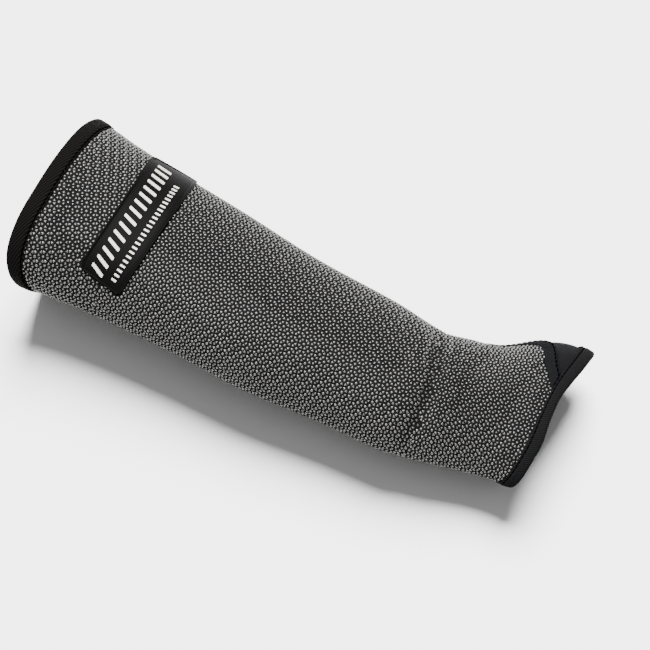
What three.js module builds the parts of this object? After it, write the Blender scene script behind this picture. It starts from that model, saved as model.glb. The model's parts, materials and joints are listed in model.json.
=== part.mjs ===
// Cut resistant forearm sleeve of plated cloth, lying on its side, elbow end to -X and wrist to +X
import * as THREE from "three";

// Driving sizes in millimetres
const LENGTH = 308;
const ELBOW_WIDTH = 109;
const ELBOW_HEIGHT = 69;
const FLAT_DEPTH = 2;
const FABRIC = 1.8;
const BINDING = 0.9;
const GAP = 0.3;
const ELBOW_BAND = 9.5;
const WRIST_BAND = 7;
const GUSSET_CLOTH = 1.2;
const SEAM_TAPE_WIDTH = 7;
const SEAM_TAPE = 0.8;
const CREASE_DEPTH = 2.6;
const LABEL_LENGTH = 94;
const LABEL_WIDTH = 29.9;
const LABEL_CORNER = 6;
const LABEL_THICK = 1.3;
const LABEL_RIM = 0.5;

// Fineness of the facets
const AROUND = 60;

// Sections along the sleeve: back and front edge as shares of the elbow width, height of its height
const SECTIONS = [
  { along: 0.0, back: 0.53, front: -0.47, height: 1.0 },
  { along: 0.162, back: 0.488, front: -0.405, height: 0.928 },
  { along: 0.325, back: 0.458, front: -0.375, height: 0.87 },
  { along: 0.487, back: 0.421, front: -0.368, height: 0.812 },
  { along: 0.649, back: 0.416, front: -0.321, height: 0.754 },
  { along: 0.753, back: 0.398, front: -0.304, height: 0.717 },
  { along: 0.799, back: 0.436, front: -0.278, height: 0.696 },
  { along: 0.851, back: 0.488, front: -0.235, height: 0.667 },
  { along: 0.929, back: 0.672, front: -0.176, height: 0.623 },
  { along: 1.007, back: 0.692, front: -0.14, height: 0.594 },
];

// Shape of both cut ends round the sleeve, as shares of the elbow width; angle 0 is the back edge
const ENDS = [
  { angle: 0, elbow: -0.019, wrist: -0.03 },
  { angle: 18, elbow: 0.004, wrist: -0.016 },
  { angle: 48, elbow: 0.01, wrist: -0.01 },
  { angle: 79, elbow: 0.025, wrist: -0.012 },
  { angle: 104, elbow: 0.035, wrist: 0.004 },
  { angle: 126, elbow: 0.036, wrist: 0.016 },
  { angle: 150, elbow: 0.05, wrist: 0.006 },
  { angle: 171, elbow: 0.08, wrist: -0.016 },
  { angle: 190, elbow: 0.112, wrist: -0.045 },
  { angle: 215, elbow: 0.12, wrist: -0.08 },
  { angle: 250, elbow: 0.1, wrist: -0.1 },
  { angle: 300, elbow: 0.04, wrist: -0.1 },
  { angle: 340, elbow: -0.005, wrist: -0.075 },
  { angle: 360, elbow: -0.019, wrist: -0.03 },
];

// Cut edges of the plated cloth beside the gusset: share of the length, then angles of both edges
const NOTCH = [
  { along: 0.822, near: 6, far: 6 },
  { along: 0.838, near: 18, far: -2 },
  { along: 0.87, near: 25, far: -10 },
  { along: 0.894, near: 31, far: -16 },
  { along: 0.912, near: 37.5, far: -22 },
  { along: 0.928, near: 49, far: -30 },
  { along: 0.945, near: 63, far: -40 },
  { along: 0.967, near: 75, far: -50 },
  { along: 0.982, near: 83, far: -58 },
];

// Fold at the bend: share of the length where the groove runs, and how deep it is there
const CREASE = [
  { angle: 18, along: 0.748, depth: 0 },
  { angle: 42, along: 0.755, depth: 0.7 },
  { angle: 93, along: 0.792, depth: 1 },
  { angle: 121, along: 0.802, depth: 1 },
  { angle: 151, along: 0.802, depth: 0.6 },
  { angle: 176, along: 0.798, depth: 0 },
];

// Place of the label: share of the length, angle of its middle, lean and bow as shares of its length
const LABEL_ALONG = 0.1902;
const LABEL_ANGLE = 84.3;
const LABEL_LEAN = 0.022;
const LABEL_BOW = 0.058;

const rad = (deg) => (deg * Math.PI) / 180;
const clamp = (v, lo, hi) => Math.min(hi, Math.max(lo, v));
const ease = (t) => { const c = clamp(t, 0, 1); return c * c * (3 - 2 * c); };

// Smooth reading of a table column
function read(table, key, column, at) {
  let i = 0;
  while (i < table.length - 2 && at > table[i + 1][key]) i++;
  const slope = (k) => {
    const a = table[Math.max(k - 1, 0)];
    const b = table[Math.min(k + 1, table.length - 1)];
    return (b[column] - a[column]) / (b[key] - a[key]);
  };
  const p = table[i];
  const q = table[i + 1];
  const span = q[key] - p[key];
  const t = clamp((at - p[key]) / span, 0, 1);
  const t2 = t * t;
  const t3 = t2 * t;
  return (2 * t3 - 3 * t2 + 1) * p[column] + (t3 - 2 * t2 + t) * span * slope(i)
    + (3 * t2 - 2 * t3) * q[column] + (t3 - t2) * span * slope(i + 1);
}

// Depth of the fold at the bend, with a soft ridge on both sides of the groove
function crease(x, angle) {
  if (angle < CREASE[0].angle || angle > CREASE[CREASE.length - 1].angle) return 0;
  const away = x - LENGTH * read(CREASE, "angle", "along", angle);
  const groove = Math.exp(-((away / 4.5) ** 2));
  const ridges = 0.4 * Math.exp(-(((Math.abs(away) - 9) / 5) ** 2));
  return CREASE_DEPTH * read(CREASE, "angle", "depth", angle) * (ridges - groove);
}

// Point of the sleeve at a station along it, an angle in degrees and a height above the cloth
function place(along, angle, h) {
  const turn = ((angle % 360) + 360) % 360;
  const x = along
    + ELBOW_WIDTH * read(ENDS, "angle", "elbow", turn) * (1 - ease(along / (0.25 * LENGTH)))
    + ELBOW_WIDTH * read(ENDS, "angle", "wrist", turn) * ease((along / LENGTH - 0.87) / 0.13);
  const share = clamp(x / LENGTH, 0, SECTIONS[SECTIONS.length - 1].along);
  const back = ELBOW_WIDTH * read(SECTIONS, "along", "back", share);
  const front = ELBOW_WIDTH * read(SECTIONS, "along", "front", share);
  const half = (ELBOW_HEIGHT * read(SECTIONS, "along", "height", share)) / 2;
  const pinch = 1 + 0.25 * clamp((share - 0.68) / 0.26, 0, 1);
  const lift = h + crease(x, turn);
  const s = Math.sin(rad(turn));
  const ends = Math.max(1 - ease((along - ELBOW_BAND - 2) / 14), ease((along - LENGTH + WRIST_BAND + 16) / 14));
  const rest = (GAP + BINDING) * ends;
  const y = (back + front) / 2 + ((back - front) / 2 + lift) * Math.cos(rad(turn));
  const z = rest + half - FLAT_DEPTH + (half + lift) * Math.sign(s) * Math.abs(s) ** pinch;
  const floor = rest - h;
  const soft = 0.6 * FLAT_DEPTH;
  const d = z - floor;
  if (d <= -soft) return [x, y, floor];
  return [x, y, d >= soft ? z : floor + (d + soft) ** 2 / (4 * soft)];
}

// Millimetres round the sleeve for one degree
function speed(along, angle) {
  const a = place(along, angle - 1, 0);
  const b = place(along, angle + 1, 0);
  return Math.hypot(b[0] - a[0], b[1] - a[1], b[2] - a[2]) / 2;
}

// Closed solid from triangles given as point triples, with equal points joined
function solid(name, triangles, colour, roughness) {
  const seen = new Map();
  const points = [];
  const index = [];
  const find = (p) => {
    const key = p.map((v) => Math.round(v * 2000)).join();
    if (!seen.has(key)) {
      seen.set(key, points.length / 3);
      points.push(...p);
    }
    return seen.get(key);
  };
  for (const [a, b, c] of triangles) {
    const t = [find(a), find(b), find(c)];
    if (t[0] !== t[1] && t[1] !== t[2] && t[2] !== t[0]) index.push(...t);
  }
  const geometry = new THREE.BufferGeometry();
  geometry.setAttribute("position", new THREE.Float32BufferAttribute(points, 3));
  geometry.setIndex(index);
  geometry.computeVertexNormals();
  const material = new THREE.MeshStandardMaterial({ color: colour, roughness, metalness: 0 });
  const mesh = new THREE.Mesh(geometry, material);
  mesh.name = name;
  return mesh;
}

// Sheet of cloth on a grid: at(i, j, side) gives a point, side 1 the outside and 0 the inside
function sheet(rows, columns, at, round) {
  const out = [];
  const quad = (a, b, c, d) => { out.push([a, c, b], [a, d, c]); };
  for (let i = 0; i < rows; i++) {
    for (let j = 0; j < columns; j++) {
      quad(at(i, j, 1), at(i + 1, j, 1), at(i + 1, j + 1, 1), at(i, j + 1, 1));
      quad(at(i, j, 0), at(i, j + 1, 0), at(i + 1, j + 1, 0), at(i + 1, j, 0));
    }
  }
  for (let j = 0; j < columns; j++) {
    quad(at(0, j, 0), at(0, j, 1), at(0, j + 1, 1), at(0, j + 1, 0));
    quad(at(rows, j, 0), at(rows, j + 1, 0), at(rows, j + 1, 1), at(rows, j, 1));
  }
  for (let i = 0; i < rows; i++) {
    if (round(i)) continue;
    quad(at(i, 0, 0), at(i + 1, 0, 0), at(i + 1, 0, 1), at(i, 0, 1));
    quad(at(i, columns, 0), at(i, columns, 1), at(i + 1, columns, 1), at(i + 1, columns, 0));
  }
  return out;
}

const grey = 0x5c5c5c;
const black = 0x17171a;
const parts = [];

// Plated cloth shell, a closed tube as far as the tip of the gusset and open beyond it
const tip = LENGTH * NOTCH[0].along;
const shellStart = GAP;
const shellEnd = LENGTH - GAP;
const stations = [];
for (let i = 0; i <= 3; i++) stations.push(shellStart + ((ELBOW_BAND + 4 - shellStart) * i) / 3);
for (let i = 1; i <= 8; i++) stations.push(ELBOW_BAND + 4 + ((0.7 * LENGTH - ELBOW_BAND - 4) * i) / 8);
for (let i = 1; i <= 9; i++) stations.push(0.7 * LENGTH + ((tip - 0.7 * LENGTH) * i) / 9);
for (let i = 1; i <= 9; i++) stations.push(tip + ((shellEnd - tip) * i) / 9);
const edge = (column, along) => read(NOTCH, "along", column, clamp(along / LENGTH, NOTCH[0].along, 1));
const shellAt = (i, j, side) => {
  const s = stations[i];
  const near = edge("near", s);
  const far = edge("far", s) + 360;
  return place(s, near + ((far - near) * j) / AROUND, side ? 0 : -FABRIC);
};
const closedRow = (i) => stations[i + 1] <= tip + 0.001;
parts.push(solid("fabric_shell", sheet(stations.length - 1, AROUND, shellAt, closedRow), grey, 0.7));

// Stretch cloth gusset filling the opening at the back of the wrist
const gussetRows = 10;
const gussetCols = 10;
const gussetAt = (i, j, side) => {
  const first = LENGTH * (NOTCH[0].along + 0.006);
  const s = first + ((shellEnd - first) * i) / gussetRows;
  const slack = (GAP + 0.15) / speed(s, 0);
  const near = edge("near", s) - 1.6 * slack;
  const far = edge("far", s) + 1.6 * slack;
  return place(s, far + ((near - far) * j) / gussetCols, side ? -GAP : -GAP - GUSSET_CLOTH);
};
parts.push(solid("wrist_gusset", sheet(gussetRows, gussetCols, gussetAt, () => false), black, 0.9));

// Seam tapes lying over both edges of the gusset and stopping short of the wrist binding
const limit = LENGTH - WRIST_BAND - GAP;
for (const [name, column, turn] of [["gusset_tape_near", "near", 1], ["gusset_tape_far", "far", -1]]) {
  const runs = 14;
  const first = LENGTH * (NOTCH[0].along + 0.004);
  const last = Math.min(LENGTH * NOTCH[NOTCH.length - 1].along, limit);
  const tapeAt = (i, j, side) => {
    const s = first + ((last - first) * i) / runs;
    const angle = edge(column, s);
    const pace = speed(s, angle);
    const rise = (edge(column, s + 0.5) - edge(column, s - 0.5)) * pace;
    const reach = Math.hypot(1, rise);
    const across = -0.25 * SEAM_TAPE_WIDTH + (SEAM_TAPE_WIDTH * j) / 3;
    const step = (turn * rise * across) / reach;
    const swing = (-turn * across) / (reach * pace);
    const middle = column === "near" ? 0.4 : -0.4;
    const inward = angle + swing;
    const kept = column === "near" ? Math.max(inward, 6 + middle) : Math.min(inward, 6 - middle * -1);
    return place(Math.min(s + step, limit), kept, side ? GAP + SEAM_TAPE : GAP);
  };
  const flip = column === "near" ? (i, j, side) => tapeAt(i, 3 - j, side) : tapeAt;
  parts.push(solid(name, sheet(runs, 3, flip, () => false), black, 0.85));
}

// Bindings folded over both cut ends, as a U round the edge of the cloth
const inside = -FABRIC - GAP;
for (const [name, band, start, way] of [
  ["elbow_binding", ELBOW_BAND, 0, 1], ["wrist_binding", WRIST_BAND, LENGTH, -1]]) {
  const profile = [
    [band, GAP], [band, GAP + BINDING], [0.35 * band, GAP + BINDING], [0, GAP + BINDING],
    [-0.6 * BINDING, GAP + 0.4 * BINDING], [-0.6 * BINDING, inside - 0.4 * BINDING],
    [0, inside - BINDING], [band, inside - BINDING], [band, inside], [0, inside], [0, GAP],
  ];
  const triangles = [];
  for (let j = 0; j < AROUND; j++) {
    for (let k = 0; k < profile.length; k++) {
      const [a, b] = [profile[k], profile[(k + 1) % profile.length]];
      const at = (p, n) => place(start + way * p[0], (360 * n) / AROUND, p[1]);
      const ring = [at(a, j), at(a, j + 1), at(b, j + 1), at(b, j)];
      if (way > 0) ring.reverse();
      triangles.push([ring[0], ring[1], ring[2]], [ring[0], ring[2], ring[3]]);
    }
  }
  parts.push(solid(name, triangles, black, 0.85));
}

// Moulded label wrapped over the upper side, with rounded corners and a raised rim
const walk = (sign) => {
  const list = [];
  let angle = LABEL_ANGLE;
  for (let d = 0; d <= LABEL_LENGTH / 2 + 8; d += 1) {
    list.push(angle);
    angle += sign / speed(LENGTH * LABEL_ALONG, angle);
  }
  return list;
};
const forward = walk(1);
const backward = walk(-1);
const labelAngle = (d) => {
  const list = d > 0 ? forward : backward;
  const i = Math.floor(Math.abs(d));
  return list[i] + (list[i + 1] - list[i]) * (Math.abs(d) - i);
};
const longStops = [-1, -0.985, -0.965, -0.95, -0.9, -0.8, -0.7, -0.6, -0.5, -0.4, -0.3, -0.2, -0.1, 0];
const lengthStops = [...longStops, ...longStops.slice(0, -1).reverse().map((v) => -v)];
const crossStops = [-1, -0.92, -0.86, -0.4, 0, 0.4, 0.86, 0.92, 1];
const labelAt = (i, j, side) => {
  const p = lengthStops[i];
  const q = crossStops[j];
  const d = (p * LABEL_LENGTH) / 2;
  const over = Math.max(0, Math.abs(d) - LABEL_LENGTH / 2 + LABEL_CORNER);
  const half = LABEL_WIDTH / 2 - LABEL_CORNER + Math.sqrt(Math.max(0, LABEL_CORNER ** 2 - over ** 2));
  const middle = LENGTH * LABEL_ALONG + LABEL_LENGTH * (LABEL_LEAN * p + LABEL_BOW * (0.4 - p * p));
  const turn = Math.atan(2 * (LABEL_LEAN - 2 * LABEL_BOW * p));
  const rim = Math.abs(p) >= 0.964 || Math.abs(q) >= 0.919 ? LABEL_RIM : 0;
  const angle = labelAngle(d - q * half * Math.sin(turn));
  return place(middle + q * half * Math.cos(turn), angle, side ? GAP + LABEL_THICK + rim : GAP);
};
const flipped = (i, j, side) => labelAt(i, crossStops.length - 1 - j, side);
parts.push(solid("label_patch", sheet(lengthStops.length - 1, crossStops.length - 1, flipped, () => false),
  0x2b2d26, 0.6));

// Centre the whole over the origin with its lowest face on the floor
const group = new THREE.Group();
parts.forEach((part) => group.add(part));
const box = new THREE.Box3().setFromObject(group);
const middle = box.getCenter(new THREE.Vector3());
parts.forEach((part) => part.geometry.translate(-middle.x, -middle.y, -box.min.z));

export default group;
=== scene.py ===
import bpy, bmesh, json, math
import numpy as np
from mathutils import Vector, Matrix

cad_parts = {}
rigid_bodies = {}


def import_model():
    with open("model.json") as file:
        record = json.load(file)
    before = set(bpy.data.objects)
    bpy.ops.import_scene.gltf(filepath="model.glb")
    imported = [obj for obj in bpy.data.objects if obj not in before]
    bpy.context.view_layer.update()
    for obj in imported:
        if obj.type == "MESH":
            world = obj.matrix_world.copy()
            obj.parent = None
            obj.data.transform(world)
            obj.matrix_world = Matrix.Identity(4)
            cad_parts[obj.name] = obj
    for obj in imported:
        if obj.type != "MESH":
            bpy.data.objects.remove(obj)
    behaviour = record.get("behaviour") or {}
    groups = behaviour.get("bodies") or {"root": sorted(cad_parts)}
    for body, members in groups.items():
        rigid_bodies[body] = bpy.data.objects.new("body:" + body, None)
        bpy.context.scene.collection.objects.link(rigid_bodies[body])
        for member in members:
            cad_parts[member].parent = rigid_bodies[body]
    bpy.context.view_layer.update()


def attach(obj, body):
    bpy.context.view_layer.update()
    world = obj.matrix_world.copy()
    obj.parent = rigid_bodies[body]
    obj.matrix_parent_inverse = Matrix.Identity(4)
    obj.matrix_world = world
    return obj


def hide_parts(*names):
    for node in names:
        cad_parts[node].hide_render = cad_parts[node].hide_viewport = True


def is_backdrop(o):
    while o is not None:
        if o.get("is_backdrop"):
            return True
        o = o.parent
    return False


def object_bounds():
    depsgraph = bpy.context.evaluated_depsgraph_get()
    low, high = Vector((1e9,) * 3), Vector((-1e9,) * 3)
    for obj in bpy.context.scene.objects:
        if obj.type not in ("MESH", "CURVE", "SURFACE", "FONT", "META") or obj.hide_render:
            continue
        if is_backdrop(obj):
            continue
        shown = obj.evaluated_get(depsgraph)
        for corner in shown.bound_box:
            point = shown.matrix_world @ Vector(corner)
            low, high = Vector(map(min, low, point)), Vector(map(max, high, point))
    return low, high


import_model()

# The sleeve itself: a tapered tube of tough dark cloth, sewn from one flat cut. It lies on its side, so
# every section is an oval with its underside pressed flat, and the last fifth bends towards the back.
# All pieces below are laid on this form, so its sizes and its way from flat cloth to tube come first.
LENGTH, WIDTH, HEIGHT = 0.308, 0.109, 0.069
PRESSED, CLOTH, GAP, TAPE = 0.002, 0.0018, 0.0003, 0.0009
ELBOW_BAND, WRIST_BAND, CREASE = 0.0095, 0.007, 0.0026
CENTRE = np.array([0.153837, 0.012894, 0.0])

# share of the length, back edge and front edge as shares of the width, height as a share
SECTIONS = np.array([
    [0, .53, -.47, 1], [.162, .488, -.405, .928], [.325, .458, -.375, .87], [.487, .421, -.368, .812],
    [.649, .416, -.321, .754], [.753, .398, -.304, .717], [.799, .436, -.278, .696],
    [.851, .488, -.235, .667], [.929, .672, -.176, .623], [1.007, .692, -.14, .594]])
# angle round the sleeve from the back edge, cut of the elbow end and of the wrist end
ENDS = np.array([
    [0, -.019, -.03], [18, .004, -.016], [48, .01, -.01], [79, .025, -.012], [104, .035, .004],
    [126, .036, .016], [150, .05, .006], [171, .08, -.016], [190, .112, -.045], [215, .12, -.08],
    [250, .1, -.1], [300, .04, -.1], [340, -.005, -.075], [360, -.019, -.03]])
# share of the length, then the angles of the two edges of the cloth beside the gusset
NOTCH = np.array([
    [.822, 6, 6], [.838, 18, -2], [.87, 25, -10], [.894, 31, -16], [.912, 37.5, -22], [.928, 49, -30],
    [.945, 63, -40], [.967, 75, -50], [.982, 83, -58]])
# angle, share of the length where the fold at the bend runs, and its depth there
FOLD = np.array([
    [18, .748, 0], [42, .755, .7], [93, .792, 1], [121, .802, 1], [151, .802, .6], [176, .798, 0]])
# in mm: half width of the hollow, then how high, how far away and how wide its shoulders are
HOLLOW_WIDE, SHOULDER_HIGH, SHOULDER_AWAY, SHOULDER_WIDE = 4.5, 0.4, 9, 5
# shares of the length: where the slant of the elbow cut has died out, where that of the wrist cut sets in
ELBOW_CUT_OVER, WRIST_CUT_FROM, WRIST_CUT_OVER = 0.25, 0.87, 0.13
# the sections narrow towards their sides past the bend; the flat underside starts with a soft edge
PINCH, PINCH_FROM, PINCH_OVER, SOFT_EDGE = 0.25, 0.68, 0.26, 0.6
# the ends rest on their tapes, and the cloth comes down to the floor over 14 mm from 2 mm past them
DOWN_FROM, DOWN_OVER, DOWN_BEFORE = 0.002, 0.014, 0.016


def ease(t):
    t = np.clip(t, 0, 1)
    return t * t * (3 - 2 * t)


def along_table(table, column, at):
    k, v = table[:, 0], table[:, column]
    slope = np.empty_like(v)
    slope[1:-1] = (v[2:] - v[:-2]) / (k[2:] - k[:-2])
    slope[0], slope[-1] = (v[1] - v[0]) / (k[1] - k[0]), (v[-1] - v[-2]) / (k[-1] - k[-2])
    i = np.clip(np.searchsorted(k, at) - 1, 0, len(k) - 2)
    h = k[i + 1] - k[i]
    t = np.clip((at - k[i]) / h, 0, 1)
    return ((2 * t**3 - 3 * t**2 + 1) * v[i] + (t**3 - 2 * t**2 + t) * h * slope[i]
            + (3 * t**2 - 2 * t**3) * v[i + 1] + (t**3 - t**2) * h * slope[i + 1])


def end_cut(along, angle):
    return (WIDTH * along_table(ENDS, 1, angle) * (1 - ease(along / (ELBOW_CUT_OVER * LENGTH)))
            + WIDTH * along_table(ENDS, 2, angle)
            * ease((along / LENGTH - WRIST_CUT_FROM) / WRIST_CUT_OVER))


def fold_at_bend(x, angle):
    away = (x - LENGTH * along_table(FOLD, 1, angle)) * 1000
    shoulders = SHOULDER_HIGH * np.exp(-((np.abs(away) - SHOULDER_AWAY) / SHOULDER_WIDE) ** 2)
    shape = shoulders - np.exp(-(away / HOLLOW_WIDE) ** 2)
    inside = (angle > FOLD[0, 0]) & (angle < FOLD[-1, 0])
    return np.where(inside, CREASE * along_table(FOLD, 2, angle) * shape, 0)


def middle_line(x):
    share = np.clip(x / LENGTH, 0, SECTIONS[-1, 0])
    return WIDTH * (along_table(SECTIONS, 1, share) + along_table(SECTIONS, 2, share)) / 2


def on_sleeve(along, angle, h):
    """Points h above the cloth, at metres along the sleeve and degrees round it from the back edge."""
    along, angle, h = np.broadcast_arrays(*[np.asarray(v, float) for v in (along, angle, h)])
    turn = np.mod(angle, 360)
    x = along + end_cut(along, turn)
    share = np.clip(x / LENGTH, 0, SECTIONS[-1, 0])
    back, front = WIDTH * along_table(SECTIONS, 1, share), WIDTH * along_table(SECTIONS, 2, share)
    half = HEIGHT * along_table(SECTIONS, 3, share) / 2
    pinch = 1 + PINCH * np.clip((share - PINCH_FROM) / PINCH_OVER, 0, 1)
    lift = h + fold_at_bend(x, turn)
    s, c = np.sin(np.radians(turn)), np.cos(np.radians(turn))
    raised = np.maximum(1 - ease((along - ELBOW_BAND - DOWN_FROM) / DOWN_OVER),
                        ease((along - LENGTH + WRIST_BAND + DOWN_BEFORE) / DOWN_OVER)) * (GAP + TAPE)
    y = (back + front) / 2 + ((back - front) / 2 + lift) * c
    z = raised + half - PRESSED + (half + lift) * np.sign(s) * np.abs(s) ** pinch
    floor = raised - h
    soft = SOFT_EDGE * PRESSED
    d = z - floor
    z = np.where(d <= -soft, floor, np.where(d >= soft, z, floor + (d + soft) ** 2 / (4 * soft)))
    return np.stack([x, y, z], -1) - CENTRE


# way round the sleeve in metres from its upper line at 110 degrees, at every 2 mm and every degree;
# the cloth is sewn shut along the back edge, at 6 degrees, and the tables reach 10 degrees past the seam
SEAM, PAST, UPPER_LINE = 6.0, 10, 110
ALMOST_ROUND = 359.999
STATION_STEP, WAY_STEP, TABLE_END = 0.002, 0.0005, 1.001
STATIONS = np.linspace(-0.01, 0.32, 166)
DEGREES = np.arange(SEAM - PAST, SEAM + 361 + PAST)
_rings = on_sleeve(STATIONS[:, None], DEGREES[None, :], 0.0)
_steps = np.linalg.norm(np.diff(_rings, axis=1), axis=2)
ROUND = np.concatenate([np.zeros((len(STATIONS), 1)), np.cumsum(_steps, 1)], 1)
ROUND -= ROUND[:, [int(UPPER_LINE - DEGREES[0])]]
WAYS = np.linspace(-0.12, 0.24, 721)
ANGLES = np.stack([np.interp(WAYS, r, DEGREES, left=np.nan, right=np.nan) for r in ROUND])


def angle_at(along, way):
    i = np.clip((along - STATIONS[0]) / STATION_STEP, 0, len(STATIONS) - TABLE_END)
    j = np.clip((way - WAYS[0]) / WAY_STEP, 0, len(WAYS) - TABLE_END)
    a, b = i.astype(int), j.astype(int)
    u, v = i - a, j - b
    return ((ANGLES[a, b] * (1 - v) + ANGLES[a, b + 1] * v) * (1 - u)
            + (ANGLES[a + 1, b] * (1 - v) + ANGLES[a + 1, b + 1] * v) * u)


def way_at(along, angle):
    turn = np.mod(np.asarray(angle, float) - SEAM, 360) + PAST
    i = np.clip((along - STATIONS[0]) / STATION_STEP, 0, len(STATIONS) - TABLE_END)
    a, b = i.astype(int), turn.astype(int)
    u, v = i - a, turn - b
    return ((ROUND[a, b] * (1 - v) + ROUND[a, b + 1] * v) * (1 - u)
            + (ROUND[a + 1, b] * (1 - v) + ROUND[a + 1, b + 1] * v) * u)


def new_object(name, bm, material, smooth):
    mesh = bpy.data.meshes.new(name)
    bm.to_mesh(mesh)
    bm.free()
    for p in mesh.polygons:
        p.use_smooth = smooth
    mesh.materials.append(material)
    piece = bpy.data.objects.new(name, mesh)
    bpy.context.scene.collection.objects.link(piece)
    return piece


# points this close are one, edges this short are dropped, and a point this deep is inside the tube
MERGED, TOO_SHORT, INSIDE = 2e-6, 1e-6, 0.005


def lay_cloth(name, columns, rows, shape, thick, outward, material, lay=None):
    """Flat sheet of columns by rows, laid on the sleeve by shape(u, v), then given its thickness."""
    bm = bmesh.new()
    bmesh.ops.create_grid(bm, x_segments=columns, y_segments=rows, size=1)
    uv = np.array([v.co[:2] for v in bm.verts]) / 2 + 0.5
    along, angle, h = shape(uv[:, 0], uv[:, 1])
    spots = on_sleeve(along, angle, h)
    mark = bm.loops.layers.uv.new("cloth")
    if lay is None:
        round_to = np.where(angle >= SEAM + 360, SEAM + ALMOST_ROUND, angle)
        flat = np.stack([along, way_at(along, round_to)], -1)
    else:
        flat = lay(uv[:, 0], uv[:, 1])
    for f in bm.faces:
        for loop in f.loops:
            loop[mark].uv = flat[loop.vert.index]
    for v, spot in zip(bm.verts, spots):
        v.co = spot
    bmesh.ops.remove_doubles(bm, verts=bm.verts, dist=MERGED)
    bmesh.ops.dissolve_degenerate(bm, edges=bm.edges, dist=TOO_SHORT)
    middle = on_sleeve(along, angle, np.asarray(h) - INSIDE)
    f = max(bm.faces, key=lambda f: f.calc_area())
    centre = f.calc_center_median()
    near = middle[np.argmin(((spots - np.array(centre)) ** 2).sum(1))]
    if f.normal.dot(centre - Vector(near)) < 0:
        bmesh.ops.reverse_faces(bm, faces=bm.faces)
    piece = new_object(name, bm, material, True)
    wall = piece.modifiers.new("wall", "SOLIDIFY")
    wall.thickness, wall.offset, wall.use_even_offset = thick, 1 if outward else -1, False
    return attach(piece, "root")


def new_material(name, colour, roughness):
    m = bpy.data.materials.new(name)
    m.use_nodes = True
    shader = m.node_tree.nodes["Principled BSDF"]
    shader.inputs["Base Color"].default_value = (*colour, 1)
    shader.inputs["Roughness"].default_value = roughness
    return m, m.node_tree.nodes, m.node_tree.links, shader


def link_node(nodes, links, kind, inputs=None, **settings):
    node = nodes.new(kind)
    for key, value in settings.items():
        setattr(node, key, value)
    for key, value in (inputs or {}).items():
        if isinstance(value, bpy.types.NodeSocket):
            links.new(value, node.inputs[key])
        else:
            node.inputs[key].default_value = value
    return node


def grain_bump(nodes, links, shader, scale, detail, strength, distance):
    """Fine noise laid flat on the cloth and raised as a bump; gives back the noise."""
    spot = link_node(nodes, links, "ShaderNodeUVMap", uv_map="cloth")
    grain = link_node(nodes, links, "ShaderNodeTexNoise", {
        "Vector": spot.outputs["UV"], "Scale": scale, "Detail": detail}).outputs["Fac"]
    bump = link_node(nodes, links, "ShaderNodeBump", {
        "Height": grain, "Strength": strength, "Distance": distance})
    links.new(bump.outputs["Normal"], shader.inputs["Normal"])
    return grain


# dark base cloth, close woven, which shows only between the plates
cloth_finish, nodes, links, shader = new_material("dark_base_cloth", (0.016, 0.015, 0.017), 0.9)
weave = grain_bump(nodes, links, shader, 2600.0, 2.0, 0.5, 0.0002)
tone = link_node(nodes, links, "ShaderNodeValToRGB", {"Fac": weave})
tone.color_ramp.elements[0].color = (0.003, 0.003, 0.0035, 1)
tone.color_ramp.elements[1].color = (0.011, 0.0105, 0.011, 1)
links.new(tone.outputs["Color"], shader.inputs["Base Color"])
shader.inputs["Specular IOR Level"].default_value = 0.05

# the back of the cloth, which is all that shows inside the tube: plain dark woven backing
backing_finish, nodes, links, shader = new_material("dark_backing_cloth", (0.022, 0.022, 0.023), 0.9)
grain_bump(nodes, links, shader, 1600.0, 2.0, 0.5, 0.0003)
shader.inputs["Specular IOR Level"].default_value = 0.1

# the tube starts and ends a little inside the folds of the bindings
TUBE_FROM, TUBE_SHORT, TUBE_SUNK = 0.001, 0.0042, 0.0001


def notch_edge(column, along):
    share = np.clip(along / LENGTH, NOTCH[0, 0], NOTCH[-1, 0])
    return along_table(NOTCH, column, share)


def tube_shape(u, v):
    along = TUBE_FROM + (LENGTH - TUBE_SHORT) * v
    near, far = notch_edge(1, along), notch_edge(2, along) + 360
    return along, near + (far - near) * u, np.full_like(u, -TUBE_SUNK)


shell = lay_cloth("armour_cloth", 168, 150, tube_shape, CLOTH, False, cloth_finish)
shell.data.materials.append(backing_finish)
shell.modifiers["wall"].material_offset = 1
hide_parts("fabric_shell")

# The hard plates: an eight-sided dot at every corner of a square pattern, and between the dots pairs
# of small three-sided plates that meet tip to tip. They are moulded resin, printed on the flat cloth,
# so each repeat is set out flat, stepped over the cut, and then wrapped round the tube with the cloth.
PLATE_HIGH, PLATE_SUNK = 0.00060, 0.0002
# shares of the height and of the width at the shoulder and at the crown of a plate
PLATE_STEPS = ((0.60, 0.86), (0.40, 0.50))
# shares of the pitch: half a dot, half a three-sided plate both ways, its round corners, half the tip gap
DOT_HALF, TIP_HALF_WIDE, TIP_HALF_LONG, TIP_ROUND, TIP_GAP = 0.165, 0.205, 0.180, 0.050, 0.055
# middle of the square pattern on the flat cloth, how far it reaches from there, and the place along the
# sleeve where its line round is measured from; then the ends of the tables of ways round
LATTICE_X, LATTICE_WAY, LATTICE_REACH, LATTICE_DATUM = 0.15, 0.055, 0.22, 0.1
STATION_LOW, STATION_HIGH = -0.009, 0.318
# plates closer than this are left out where two fields meet, or one field meets itself across the seam
CROWDED, ACROSS_SEAM = 0.00122, 0.05
plates_laid = {}
# tones of the plates: seed, mean and spread of their random tone, then the foot and fall of a painted
# shade that darkens each plate down its sides, so that its crown looks lit
TONE_SEED, TONE_MEAN, TONE_SPREAD, SHADE_FOOT, SHADE_FALL = 7, 0.75, 0.14, 0.0001, 1.5
# past the lines between the fields: over the label line, over the fold and back from it
OVER_LINE, OVER_FOLD, BACK_FOLD = 0.0008, 0.0006, 0.0004
# the plates run under the skirt of the label and 1 mm under the tapes
LABEL_SKIRT, LABEL_OVER, TAPE_OVER, TAPE_OVER_TURN = 0.985, 0.0008, 0.001, 1
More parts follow.
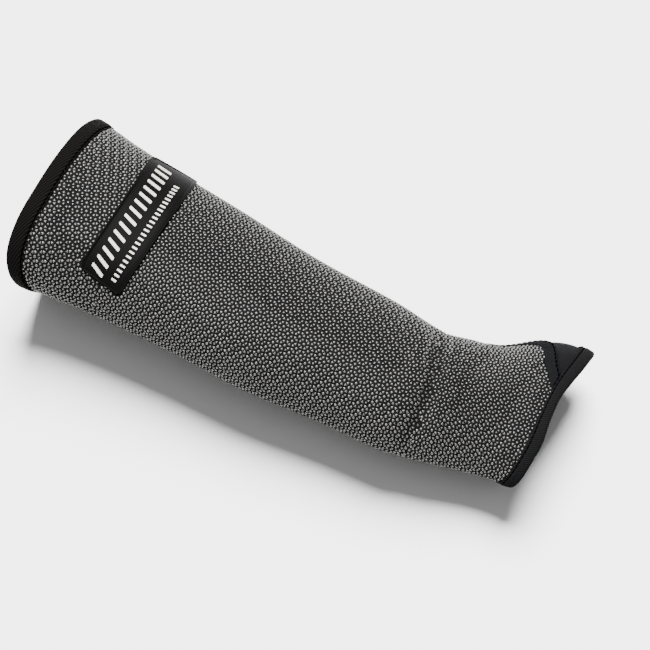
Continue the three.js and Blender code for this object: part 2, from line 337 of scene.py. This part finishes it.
# place and size of the label, which the plates leave free; it leans a little, and it bows
LABEL_ALONG, LABEL_ANGLE, LABEL_LONG, LABEL_WIDE = 0.1902 * LENGTH, 84.3, 0.094, 0.0299
LABEL_LEAN, LABEL_BOW, BOW_LEVEL, NEAR_LABEL = 0.022, 0.058, 0.4, 1.2

plate_finish, nodes, links, shader = new_material("grey_plate_resin", (0.12, 0.12, 0.115), 0.25)
# the plate colour runs along the ramp with each point's random tone times a painted shade: dark at the
# feet of the plates, light on their crowns
shade = link_node(nodes, links, "ShaderNodeAttribute", attribute_name="plate_tone_and_shade")
mix = link_node(nodes, links, "ShaderNodeValToRGB", {"Fac": shade.outputs["Fac"]})
mix.color_ramp.elements[0].color = (0.020, 0.020, 0.0195, 1)
mix.color_ramp.elements[1].color = (0.103, 0.101, 0.095, 1)
links.new(mix.outputs["Color"], shader.inputs["Base Color"])
shader.inputs["Specular IOR Level"].default_value = 1.0

label_way = way_at(np.full(1, LABEL_ALONG), np.full(1, LABEL_ANGLE))[0]


def label_middle(p):
    return LABEL_ALONG + LABEL_LONG * (LABEL_LEAN * p + LABEL_BOW * (BOW_LEVEL - p * p))


def clear_of_trim(along, angle, way):
    turn = np.mod(angle + 180, 360) - 180
    ok = (along > ELBOW_BAND - TAPE_OVER) & (along < LENGTH - WRIST_BAND + TAPE_OVER)
    near, far = notch_edge(1, along), notch_edge(2, along)
    notch = ((along > NOTCH[0, 0] * LENGTH - TAPE_OVER)
             & (turn < near + TAPE_OVER_TURN) & (turn > far - TAPE_OVER_TURN))
    p = (way - label_way) / (LABEL_LONG / 2)
    for _ in range(3):  # on_label the other way round, which takes a few rounds too
        slant = np.arctan(2 * (LABEL_LEAN - 2 * LABEL_BOW * np.clip(p, -NEAR_LABEL, NEAR_LABEL)))
        q = (along - label_middle(p)) / np.cos(slant)
        p = (way - label_way + q * np.sin(slant)) / (LABEL_LONG / 2)
    under = (np.abs(p) < LABEL_SKIRT) & (np.abs(q) < LABEL_WIDE / 2 - LABEL_OVER)
    return ok & ~notch & ~under


def label_line(way):
    return label_middle(np.clip((way - label_way) / (LABEL_LONG / 2), -1, 1))


def past_fold(x, angle):
    """How far x lies past the fold, whose two ends are carried straight on round the underside."""
    turn = np.clip(np.mod(angle + 60, 360) - 60, FOLD[0, 0], FOLD[-1, 0])
    return x - LENGTH * along_table(FOLD, 1, turn)


def one_plate(bm, corners, place, half_wide, half_long, rounding):
    made = bmesh.ops.create_circle(bm, cap_ends=True, segments=corners, radius=1)["verts"]
    spin = math.pi / corners if corners == 8 else 0
    bmesh.ops.rotate(bm, verts=made, matrix=Matrix.Rotation(spin, 3, "Z"))
    low = min(v.co.y for v in made)
    high, wide = max(v.co.y for v in made), max(v.co.x for v in made)
    for v in made:
        up = (v.co.y - low) / (high - low) - 0.5
        v.co = Vector((v.co.x / wide * half_wide, up * 2 * half_long, 0))
    if rounding:
        found = bmesh.ops.bevel(bm, geom=made, offset=rounding, segments=1, profile=0.5,
                                affect="VERTICES", material=-1)
        made = found["verts"]
    bmesh.ops.transform(bm, verts=made, matrix=place)
    bmesh.ops.translate(bm, verts=made, vec=(0, 0, -PLATE_SUNK))
    face = next(f for f in made[0].link_faces)
    sunk = PLATE_SUNK
    for high_share, shrink in PLATE_STEPS:
        top = bmesh.ops.extrude_face_region(bm, geom=[face])["geom"]
        verts = [g for g in top if isinstance(g, bmesh.types.BMVert)]
        face = next(g for g in top if isinstance(g, bmesh.types.BMFace))
        bmesh.ops.translate(bm, verts=verts, vec=(0, 0, sunk + high_share * PLATE_HIGH))
        sunk = 0
        centre = face.calc_center_median()
        bmesh.ops.scale(bm, verts=verts, vec=(shrink, shrink, 1), space=Matrix.Translation(-centre))


def pattern_repeat(bm, pitch):
    """Plates of one repeat; gives the number of each point's plate, and how many plates there are."""
    one_plate(bm, 8, Matrix.Identity(4), DOT_HALF * pitch, DOT_HALF * pitch, 0)
    for mid, lean in (((0.5, 0), 0), ((0.5, 0), 180), ((0, 0.5), 90), ((0, 0.5), -90)):
        place = (Matrix.Translation((mid[0] * pitch, mid[1] * pitch, 0))
                 @ Matrix.Rotation(math.radians(lean), 4, "Z")
                 @ Matrix.Translation((0, (TIP_GAP + TIP_HALF_LONG) * pitch, 0)))
        one_plate(bm, 3, place, TIP_HALF_WIDE * pitch, TIP_HALF_LONG * pitch, TIP_ROUND * pitch)
    bmesh.ops.recalc_face_normals(bm, faces=bm.faces)
    bm.verts.index_update()
    owner, plates = np.full(len(bm.verts), -1), 0
    for first in bm.verts:
        if owner[first.index] >= 0:
            continue
        queue = [first]
        while queue:
            v = queue.pop()
            if owner[v.index] < 0:
                owner[v.index] = plates
                queue += [e.other_vert(v) for e in v.link_edges]
        plates += 1
    return owner, plates


def wrapped(x, flat):
    """Where points of the flat cloth come to lie: along the sleeve, angle, and way round."""
    way = flat + middle_line(x) - middle_line(LATTICE_DATUM)
    along = x.copy()
    for _ in range(4):  # the cut of an end goes with the angle, so each round comes closer
        angle = angle_at(np.clip(along, STATION_LOW, STATION_HIGH), way)
        along = x - end_cut(along, np.mod(np.nan_to_num(angle), 360))
    return along, angle, way


def room_for(name, centre, way):
    """Lays a plate at centre if no plate of another field, or of this one across the seam, is close."""
    cell = [int(c // CROWDED) for c in centre]
    close = [o for a in (-1, 0, 1) for b in (-1, 0, 1) for d in (-1, 0, 1)
             for o in plates_laid.get((cell[0] + a, cell[1] + b, cell[2] + d), ())]
    if any(math.dist(o[:3], centre) <= CROWDED and (o[3] != name or abs(o[4] - way) > ACROSS_SEAM)
           for o in close):
        return False
    plates_laid.setdefault(tuple(cell), []).append((*centre, name, way))
    return True


def plate_field(name, pitch, grain, low, high, kept):
    """Plates of one cut, at its pitch and its grain in degrees, from low to high, where kept allows."""
    bm = bmesh.new()
    owner, plates = pattern_repeat(bm, pitch)
    repeat = bpy.data.meshes.new(name)
    bm.to_mesh(repeat)
    bm.free()
    count = int(2 * LATTICE_REACH / pitch)
    piece = bpy.data.objects.new(name, repeat)
    bpy.context.scene.collection.objects.link(piece)
    for axis in ((pitch, 0, 0), (0, pitch, 0)):
        step = piece.modifiers.new("step", "ARRAY")
        step.use_relative_offset, step.use_constant_offset = False, True
        step.constant_offset_displace, step.count = axis, count
    bpy.context.view_layer.update()
    ready = bpy.data.meshes.new_from_object(piece.evaluated_get(bpy.context.evaluated_depsgraph_get()))
    piece.modifiers.clear()
    piece.data = ready
    ready.name = name
    co = np.empty(len(ready.vertices) * 3)
    ready.vertices.foreach_get("co", co)
    co = co.reshape(count * count, -1, 3)
    co[..., :2] -= pitch * count / 2
    c, s = math.cos(math.radians(grain)), math.sin(math.radians(grain))
    px, py = co[..., 0] * c - co[..., 1] * s, co[..., 0] * s + co[..., 1] * c
    x, flat = px + LATTICE_X, py + LATTICE_WAY
    whose = np.arange(count * count)[:, None] * plates + owner[None, :]
    total = np.bincount(whose.ravel())
    mid_x = np.bincount(whose.ravel(), x.ravel()) / total
    mid_f = np.bincount(whose.ravel(), flat.ravel()) / total
    along, angle, way = wrapped(mid_x, mid_f)
    good = (mid_x > low) & (mid_x <= high) & np.isfinite(angle)
    good &= (way > way_at(along, SEAM)) & (way < way_at(along, SEAM + ALMOST_ROUND))
    angle = np.nan_to_num(angle)
    good &= clear_of_trim(along, angle, way) & kept(mid_x, along, angle, way)
    centres = on_sleeve(along, angle, 0.0)
    for k in np.flatnonzero(good):
        good[k] = room_for(name, centres[k].tolist(), way[k])
    stays = good[whose].ravel()
    x, flat, z = x.ravel()[stays], flat.ravel()[stays], co[..., 2].ravel()[stays]
    draw = np.random.default_rng(TONE_SEED)
    tones_and_shade = draw.normal(TONE_MEAN, TONE_SPREAD, good.size)[whose].ravel()[stays]
    # painted shade: each plate darkens down its sides towards its foot, which leaves its crown lighter,
    # like a lit top
    tones_and_shade *= np.clip((z + SHADE_FOOT) / PLATE_HIGH, 0, 1) ** SHADE_FALL
    bm = bmesh.new()
    bm.from_mesh(ready)
    bmesh.ops.delete(bm, geom=[v for v, s in zip(bm.verts, stays) if not s], context="VERTS")
    bm.to_mesh(ready)
    bm.free()
    along, angle, _ = wrapped(x, flat)
    spots = on_sleeve(along, np.nan_to_num(angle), z)
    ready.vertices.foreach_set("co", spots.ravel())
    ready.attributes.new("plate_tone_and_shade", "FLOAT", "POINT").data.foreach_set("value", np.clip(tones_and_shade, 0, 1))
    ready.update()
    bm = bmesh.new()
    bm.from_mesh(ready)
    bmesh.ops.recalc_face_normals(bm, faces=bm.faces)
    bm.to_mesh(ready)
    bm.free()
    for p in ready.polygons:
        p.use_smooth = True
    ready.materials.append(plate_finish)
    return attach(piece, "root")


for name, pitch, grain, low, high, kept in (
        ("plates_cuff", 0.0049, -29.5, -0.012, 0.08,
         lambda x, along, angle, way: along < label_line(way) + OVER_LINE),
        ("plates_upper", 0.0046, -58.5, 0.04, 0.142,
         lambda x, along, angle, way: along > label_line(way)),
        ("plates_lower", 0.0046, -58.5, 0.142, 0.26,
         lambda x, along, angle, way: past_fold(x, angle) < OVER_FOLD),
        ("plates_wrist", 0.0044, -67.0, 0.22, 0.32,
         lambda x, along, angle, way: past_fold(x, angle) > -BACK_FOLD)):
    plate_field(name, pitch, grain, low, high, kept)

# The gusset at the back of the wrist: black stretch knit that fills the V cut in the plated cloth.
# It is sewn in along both edges, and its outer corner stands out in a soft point.
GUSSET_CLOTH, GUSSET_SAG = 0.0012, 0.0009
# shares of the length, how far it stops short of the end, and degrees that it runs under the cloth
GUSSET_FROM, GUSSET_OVER, GUSSET_SHORT, GUSSET_UNDER = 0.828, 0.172, 0.0025, 0.8
knit_finish, nodes, links, shader = new_material("black_stretch_knit", (0.0058, 0.0058, 0.0064), 0.85)
spot = link_node(nodes, links, "ShaderNodeUVMap", uv_map="cloth")
ribs = link_node(nodes, links, "ShaderNodeTexWave", {
    "Vector": spot.outputs["UV"], "Scale": 330.0, "Distortion": 0.6, "Detail": 2.0, "Detail Scale": 3.0},
    wave_type="BANDS", bands_direction="Y")
bump = link_node(nodes, links, "ShaderNodeBump", {
    "Height": ribs.outputs["Fac"], "Strength": 0.7, "Distance": 0.0003})
links.new(bump.outputs["Normal"], shader.inputs["Normal"])
shader.inputs["Specular IOR Level"].default_value = 0.06


def gusset_shape(u, v):
    along = LENGTH * GUSSET_FROM + (LENGTH * GUSSET_OVER - GUSSET_SHORT) * v
    near, far = notch_edge(1, along) - GUSSET_UNDER, notch_edge(2, along) + GUSSET_UNDER
    return along, far + (near - far) * u, -GAP - GUSSET_SAG * np.sin(math.pi * u) * np.sin(math.pi * v)


gusset = lay_cloth(
    "stretch_gusset", 40, 48, gusset_shape, GUSSET_CLOTH, False, knit_finish)
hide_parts("wrist_gusset")

# The seam tapes over both edges of the gusset: narrow black woven tape, folded to a soft edge and
# sewn down over the join, from the tip of the V to the wrist binding.
SEAM_TAPE_WIDE, SEAM_TAPE_LONG, SEAM_TAPE = 0.007, 0.07, 0.0008
# share of the length where they start, share of their width that lies past the edge of the cloth,
# share of their width that is soft edge, heights of the edge and face, and degrees kept off the seam
TAPE_FROM, TAPE_PAST, TAPE_SOFT, EDGE_HIGH, FACE_MORE, OFF_SEAM = 0.826, 0.25, 0.16, 0.0001, 0.0002, 0.3
TAPE_SKIN, SLOPE_STEP = 0.0006, 0.0005
twill = bpy.data.node_groups.new("twill_ribs", "ShaderNodeTree")
twill.interface.new_socket("Slope", in_out="INPUT", socket_type="NodeSocketFloat").default_value = 1.0
twill.interface.new_socket("Pitch", in_out="INPUT", socket_type="NodeSocketFloat").default_value = 700.0
twill.interface.new_socket("Ribs", in_out="OUTPUT", socket_type="NodeSocketFloat")
nodes, links = twill.nodes, twill.links
into, out = nodes.new("NodeGroupInput"), nodes.new("NodeGroupOutput")
spot = link_node(nodes, links, "ShaderNodeUVMap", uv_map="cloth")
part = link_node(nodes, links, "ShaderNodeSeparateXYZ", {"Vector": spot.outputs["UV"]})
leaned = link_node(nodes, links, "ShaderNodeMath", {
    0: part.outputs["X"], 1: into.outputs["Slope"]}, operation="MULTIPLY")
added = link_node(nodes, links, "ShaderNodeMath", {
    0: leaned.outputs[0], 1: part.outputs["Y"]}, operation="ADD")
scaled = link_node(nodes, links, "ShaderNodeMath", {
    0: added.outputs[0], 1: into.outputs["Pitch"]}, operation="MULTIPLY")
turned = link_node(nodes, links, "ShaderNodeMath", {
    0: scaled.outputs[0], 1: math.tau}, operation="MULTIPLY")
rib = link_node(nodes, links, "ShaderNodeMath", {
    0: turned.outputs[0]}, operation="SINE")
fuzz = link_node(nodes, links, "ShaderNodeTexNoise", {
    "Vector": spot.outputs["UV"], "Scale": 2200.0, "Detail": 3.0})
soft = link_node(nodes, links, "ShaderNodeMath", {
    0: fuzz.outputs["Fac"], 1: 0.5}, operation="MULTIPLY")
half = link_node(nodes, links, "ShaderNodeMath", {
    0: rib.outputs[0], 1: 0.35, 2: 0.35}, operation="MULTIPLY_ADD")
both = link_node(nodes, links, "ShaderNodeMath", {
    0: half.outputs[0], 1: soft.outputs[0]}, operation="ADD")
links.new(both.outputs[0], out.inputs["Ribs"])


def twill_material(name, dark, light, slope, pitch, strength):
    m, nodes, links, shader = new_material(name, light, 0.8)
    group = nodes.new("ShaderNodeGroup")
    group.node_tree = twill
    group.inputs["Slope"].default_value, group.inputs["Pitch"].default_value = slope, pitch
    # the colour follows the height of the ribs, so the hollows between the ribs are darker: painted shade
    # in the hollows, with random fuzz in the tone as well
    tone = link_node(nodes, links, "ShaderNodeValToRGB", {"Fac": group.outputs["Ribs"]})
    tone.color_ramp.elements[0].color = (*dark, 1)
    tone.color_ramp.elements[1].color = (*light, 1)
    links.new(tone.outputs["Color"], shader.inputs["Base Color"])
    bump = link_node(nodes, links, "ShaderNodeBump", {
        "Height": group.outputs["Ribs"], "Strength": strength, "Distance": 0.0004})
    links.new(bump.outputs["Normal"], shader.inputs["Normal"])
    shader.inputs["Specular IOR Level"].default_value = 0.02
    return m


tape_finish = twill_material(
    "black_seam_tape", (0.0005, 0.0005, 0.0006), (0.013, 0.013, 0.0145), 0.4, 900.0, 0.9)


def tape_shape(column, side):
    def shape(u, v):
        along = LENGTH * (TAPE_FROM + (NOTCH[-1, 0] - TAPE_FROM) * v)
        angle = notch_edge(column, along)
        pace = (way_at(along, angle + 1) - way_at(along, angle - 1)) / 2
        swerve = notch_edge(column, along + SLOPE_STEP) - notch_edge(column, along - SLOPE_STEP)
        rise = swerve * pace / (2 * SLOPE_STEP)
        reach = np.hypot(1, rise)
        across = SEAM_TAPE_WIDE * (u - TAPE_PAST)
        step = side * rise * across / reach
        swing = -side * across / (reach * pace)
        soft = np.clip(np.minimum(u, 1 - u) / TAPE_SOFT, 0, 1)
        high = EDGE_HIGH + (SEAM_TAPE + FACE_MORE) * np.sqrt(1 - (1 - soft) ** 2)
        turned = angle + swing
        turned = np.maximum(turned, SEAM + OFF_SEAM) if side > 0 else np.minimum(turned, SEAM - OFF_SEAM)
        return np.minimum(along + step, LENGTH - WRIST_BAND - EDGE_HIGH), turned, high
    return shape


for name, node, column, side in (("seam_tape_near", "gusset_tape_near", 1, 1),
                                 ("seam_tape_far", "gusset_tape_far", 2, -1)):
    tape = lay_cloth(name, 14, 90, tape_shape(column, side), TAPE_SKIN, False, tape_finish,
                     lay=lambda u, v: np.stack([u * SEAM_TAPE_WIDE, v * SEAM_TAPE_LONG], -1))
    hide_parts(node)

# The bindings: black twill tape folded over both cut ends and sewn through. The elbow tape is wide,
# with steep ribs; the wrist tape is narrower and finer. The line of stitches pulls a groove in each.
elbow_finish = twill_material(
    "elbow_twill", (0.0001, 0.0001, 0.0001), (0.0085, 0.0076, 0.0073), 2.3, 300.0, 1.0)
wrist_finish = twill_material(
    "wrist_twill", (0.002, 0.002, 0.002), (0.0125, 0.0125, 0.0133), 0.4, 900.0, 0.7)

# angle, and how far the fold of the tape is drawn in from the cut end there, in metres
WRIST_DRAWN = np.array([
    [0, 0], [50, .0003], [68, .0009], [84, .0020], [96, .0023], [106, .0020], [120, .0013], [140, .0013],
    [160, .0009], [190, .0004], [240, 0], [300, 0], [360, 0]])
ELBOW_DRAWN = np.array([[0, .0005], [180, .0004], [360, .0005]])
# the fold round the cut end: its length, how far it stands out, its middle height and half height
FOLD_ROUND, FOLD_OUT, FOLD_MIDDLE, FOLD_HALF = 0.0036, 0.0005, 0.0009, 0.0012
GROOVE_DEEP, GROOVE_HALF, PUFF = 0.0010, 0.0008, 0.00025
# tape, its solid and its stitches; band, end and way inwards; place of the groove as a share of the band
BINDINGS = (
    ("elbow_binding_tape", "elbow_binding", "elbow_stitches_and_shade",
     ELBOW_BAND, 0.0, 1, 0.86, ELBOW_DRAWN, elbow_finish),
    ("wrist_binding_tape", "wrist_binding", "wrist_stitches_and_shade",
     WRIST_BAND, LENGTH, -1, 0.76, WRIST_DRAWN, wrist_finish))


def drawn_in(drawn, angle, band, from_end):
    pull = along_table(drawn, 1, np.mod(angle, 360))
    return pull + from_end * (1 - pull / band)


def binding_shape(band, start, way, groove, drawn):
    def shape(u, v):
        t = v * (2 * band + FOLD_ROUND)
        outer, rim = band - t, (t - band) / FOLD_ROUND
        inner = t - band - FOLD_ROUND
        bend = np.clip(rim, 0, 1) * math.pi
        from_end = np.where(t < band, outer, np.where(rim < 1, -FOLD_OUT * np.sin(bend), inner))
        round_end = -FOLD_MIDDLE + FOLD_HALF * np.cos(bend)
        high = np.where(t < band, GAP, np.where(rim < 1, round_end, -CLOTH - GAP))
        dip = GROOVE_DEEP * np.exp(-((from_end - groove * band) / GROOVE_HALF) ** 2) * (t < band)
        puff = PUFF * np.sin(np.clip(from_end / band, 0, 1) * math.pi) * (t < band)
        angle = SEAM + 360 * u
        return start + way * drawn_in(drawn, angle, band, from_end), angle, high + puff - dip
    return shape


for name, node, _, band, start, way, groove, drawn, finish in BINDINGS:
    shape = binding_shape(band, start, way, groove, drawn)
    tape = lay_cloth(name, 300, 44, shape, TAPE, True, finish)
    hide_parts(node)

# The stitches: short lengths of black thread sunk into the tapes. One row holds each binding, and one
# row runs along the gusset side of each seam tape. The thread is drawn wide, near black and without
# shine, so the rows are also painted shade: the dark lines of shade in the binding grooves and in the
# seams beside the gusset.
thread_and_shade_finish, nodes, links, shader = new_material("black_thread_and_seam_shade", (0.0002, 0.0002, 0.0002), 0.9)
shader.inputs["Specular IOR Level"].default_value = 0.0
# the thread is 1 mm wide, wider than real thread, so each row also paints the shade of its groove or seam
STITCH_STEP, STITCH_LONG, THREAD_AND_SHADE_WIDE, THREAD_SUNK, ROW_SUNK = 0.0030, 0.0029, 0.0010, 0.0005, 0.00006
# shares of a seam tape: place of its row across, and where the row starts and how far it runs
ROW_AT, ROW_FROM, ROW_OVER, ROW_POINTS = 0.80, 0.04, 0.92, 1500


def stitch_row(name, line):
    """Row of stitches along line(t), which gives places on the sleeve for t from 0 to 1."""
    t = np.linspace(0, 1, ROW_POINTS)
    path = on_sleeve(*line(t))
    run = np.concatenate([[0], np.cumsum(np.linalg.norm(np.diff(path, axis=0), axis=1))])
    bm = bmesh.new()
    for middle in np.arange(STITCH_STEP, run[-1] - STITCH_STEP / 2, STITCH_STEP):
        a, b = (Vector([np.interp(middle + s * STITCH_LONG / 2, run, path[:, k]) for k in range(3)])
                for s in (-1, 1))
        turn = (b - a).to_track_quat("Z", "X").to_matrix().to_4x4()
        size = Matrix.Diagonal((THREAD_AND_SHADE_WIDE / 2, THREAD_AND_SHADE_WIDE / 2, (b - a).length / 2, 1))
        bmesh.ops.create_uvsphere(bm, u_segments=6, v_segments=5, radius=1,
                                  matrix=Matrix.Translation((a + b) / 2) @ turn @ size)
    row = new_object(name, bm, thread_and_shade_finish, True)
    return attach(row, "root")


def binding_row(band, start, way, groove, drawn):
    def line(t):
        along = start + way * drawn_in(drawn, 360 * t, band, groove * band)
        return along, 360 * t, np.full_like(t, GAP + TAPE - THREAD_SUNK)
    return line


def tape_row(column, side):
    def line(t):
        along, angle, high = tape_shape(column, side)(np.full_like(t, ROW_AT), ROW_FROM + ROW_OVER * t)
        return along, angle, high - ROW_SUNK
    return line


for _, _, name, band, start, way, groove, drawn, _ in BINDINGS:
    stitch_row(name, binding_row(band, start, way, groove, drawn))
for name, column, side in (("near_tape_stitches_and_shade", 1, 1), ("far_tape_stitches_and_shade", 2, -1)):
    stitch_row(name, tape_row(column, side))

# The label: a moulded patch of dark rubber, glued and sewn on over the upper side near the elbow.
# It has round corners, a raised rim with a shallow channel inside it, and a plain raised pattern.
LABEL_CORNER, LABEL_THICK, LABEL_RIM = 0.006, 0.0013, 0.0005
# the rim is 1.3 mm wide with a soft inner side, and the channel runs 2.2 mm in from the edge
RIM_WIDE, RIM_SOFT, CHANNEL_AT, CHANNEL_HALF, CHANNEL_DEEP = 0.0013, 0.0005, 0.0022, 0.0005, 0.00025
SKIRT_HIGH, LABEL_SKIN = 0.0002, 0.0006
rubber_finish, nodes, links, shader = new_material("label_rubber", (0.0009, 0.0011, 0.0008), 0.6)
grain_bump(nodes, links, shader, 1500.0, 4.0, 0.25, 0.0002)
shader.inputs["Specular IOR Level"].default_value = 0.06


def on_label(p, q, h):
    """p runs from -1 to 1 the long way, towards the front; q is metres across."""
    slant = np.arctan(2 * (LABEL_LEAN - 2 * LABEL_BOW * p))
    way = label_way + p * LABEL_LONG / 2 - q * np.sin(slant)
    return label_middle(p) + q * np.cos(slant), angle_at(np.full_like(p, LABEL_ALONG), way), h


def label_shape(u, v):
    p, q = 2 * v - 1, 2 * u - 1
    edge = np.maximum(np.abs(p), np.abs(q))
    skirt = edge > LABEL_SKIRT
    over = np.maximum(0, np.abs(p) * LABEL_LONG / 2 - LABEL_LONG / 2 + LABEL_CORNER)
    half = LABEL_WIDE / 2 - LABEL_CORNER + np.sqrt(np.maximum(0, LABEL_CORNER**2 - over**2))
    from_side = half * (1 - np.abs(q))
    from_end = LABEL_LONG / 2 * (1 - np.abs(p))
    inwards = np.minimum(from_side, from_end)
    channel = CHANNEL_DEEP * np.exp(-((inwards - CHANNEL_AT) / CHANNEL_HALF) ** 2)
    rim = LABEL_RIM * (1 - ease((inwards - RIM_WIDE) / RIM_SOFT)) - channel
    high = np.where(skirt, SKIRT_HIGH, LABEL_THICK + rim)
    return on_label(p, q * half, high)


label = lay_cloth(
    "label_patch_rubber", 70, 160, label_shape, LABEL_SKIN, False, rubber_finish,
    lay=lambda u, v: np.stack([u * LABEL_WIDE, v * LABEL_LONG], -1))
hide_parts("label_patch")

# The plain pattern on the label: a row of slanted bars and a row of short dashes, moulded in cream
# rubber with the patch and standing a little proud of its face.
MARK_SUNK, MARK_ROUND, UPRIGHT = 0.0003, 0.25, 1e-5
cream_finish, nodes, links, shader = new_material("label_cream", (0.82, 0.79, 0.72), 0.5)
bm = bmesh.new()
for mids, across, long, thick, lean, proud in (
        (np.arange(-0.0345, 0.0420, 0.0054), -0.0040, 0.0090, 0.0018, 0.30, 0.00045),
        (np.arange(-0.0240, 0.0410, 0.0028), 0.0072, 0.0032, 0.0010, 0.0, 0.00035)):
    for mid in mids:
        made = bmesh.ops.create_cube(bm, size=1)["verts"]
        bmesh.ops.scale(bm, verts=made, vec=(long, thick, proud + MARK_SUNK))
        sides = [e for e in {e for v in made for e in v.link_edges}
                 if abs(e.verts[0].co.z - e.verts[1].co.z) > UPRIGHT]
        rounded = bmesh.ops.bevel(bm, geom=sides, offset=MARK_ROUND * thick, segments=2, profile=0.5,
                                  affect="EDGES")
        made = list({v for f in rounded["faces"] for v in f.verts} | {v for v in made if v.is_valid})
        for v in made:
            v.co = Vector((v.co.x + across, v.co.y + mid + lean * v.co.x,
                           v.co.z + LABEL_THICK + (proud - MARK_SUNK) / 2))
bars = new_object("label_bars", bm, cream_finish, False)
co = np.empty(len(bars.data.vertices) * 3)
bars.data.vertices.foreach_get("co", co)
q, p, h = co.reshape(-1, 3).T
bars.data.vertices.foreach_set("co", on_sleeve(*on_label(p / (LABEL_LONG / 2), q, h)).ravel())
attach(bars, "root")

# The floor, the light and the camera: a plain pale surface under large soft lights from the upper left
# and from behind, and a long lens that looks down from the front and a little from the wrist end.
FLOOR_HALF, FLOOR_DROP = 4, 0.0002
AZIMUTH, ELEVATION, DISTANCE = 30.2, 62, 1.3
floor_finish, nodes, links, shader = new_material("pale_floor", (0.80, 0.80, 0.80), 0.9)
bm = bmesh.new()
bmesh.ops.create_grid(bm, x_segments=1, y_segments=1, size=FLOOR_HALF)
floor = new_object("floor", bm, floor_finish, False)
floor.location.z = -FLOOR_DROP
floor.visible_diffuse = False
floor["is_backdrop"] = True

world = bpy.data.worlds.new("studio")
bpy.context.scene.world = world
world.use_nodes = True
world.node_tree.nodes["Background"].inputs["Color"].default_value = (1, 1, 1, 1)
world.node_tree.nodes["Background"].inputs["Strength"].default_value = 0.42


def direction(azimuth, elevation):
    """Way from the sleeve to a lamp or the eye, with azimuth from the front towards the wrist end."""
    a, e = math.radians(azimuth), math.radians(elevation)
    return Vector((math.sin(a) * math.cos(e), -math.cos(a) * math.cos(e), math.sin(e)))


def soft_light(name, power, size, azimuth, elevation, far):
    lamp = bpy.data.lights.new(name, "AREA")
    lamp.energy, lamp.size = power, size
    o = bpy.data.objects.new(name, lamp)
    bpy.context.scene.collection.objects.link(o)
    back = direction(azimuth, elevation)
    o.location = back * far
    o.rotation_euler = back.to_track_quat("Z", "Y").to_euler()
    return o


on_sleeve_only = bpy.data.collections.new("sleeve_only")
for o in bpy.context.scene.objects:
    if o.type == "MESH" and o != floor:
        on_sleeve_only.objects.link(o)
for lamp in (soft_light("key", 36, 0.7, -70, 72, 1.4), soft_light("top", 35, 0.8, 208, 63, 1.5),
             soft_light("fill", 3, 1.2, 80, 50, 1.6)):
    lamp.light_linking.receiver_collection = on_sleeve_only

# the shadow comes from a wide sun behind the sleeve, which lights only the floor
SUN_FROM = Vector((-0.30, 0.80, 0.95))
only_floor = bpy.data.collections.new("only_floor")
only_floor.objects.link(floor)
sun = bpy.data.lights.new("floor_sun", "SUN")
sun.energy, sun.angle = 24, math.radians(34)
lamp = bpy.data.objects.new("floor_sun", sun)
bpy.context.scene.collection.objects.link(lamp)
lamp.rotation_euler = SUN_FROM.to_track_quat("Z", "Y").to_euler()
lamp.light_linking.receiver_collection = only_floor

camera = bpy.data.cameras.new("camera")
camera.sensor_width, camera.lens = 36, 133.3
camera.clip_end = 20
eye = bpy.data.objects.new("camera", camera)
bpy.context.scene.collection.objects.link(eye)
bpy.context.scene.camera = eye
a, e = math.radians(AZIMUTH), math.radians(ELEVATION)
right = Vector((math.cos(a), math.sin(a), 0))
up = Vector((-math.sin(e) * math.sin(a), math.sin(e) * math.cos(a), math.cos(e)))
back = direction(AZIMUTH, ELEVATION)
target = Vector((0.02236, -0.00603, 0.04315))
turn = Matrix((right, up, back)).transposed()
eye.matrix_world = Matrix.Translation(target + back * DISTANCE) @ turn.to_4x4()

low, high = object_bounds()
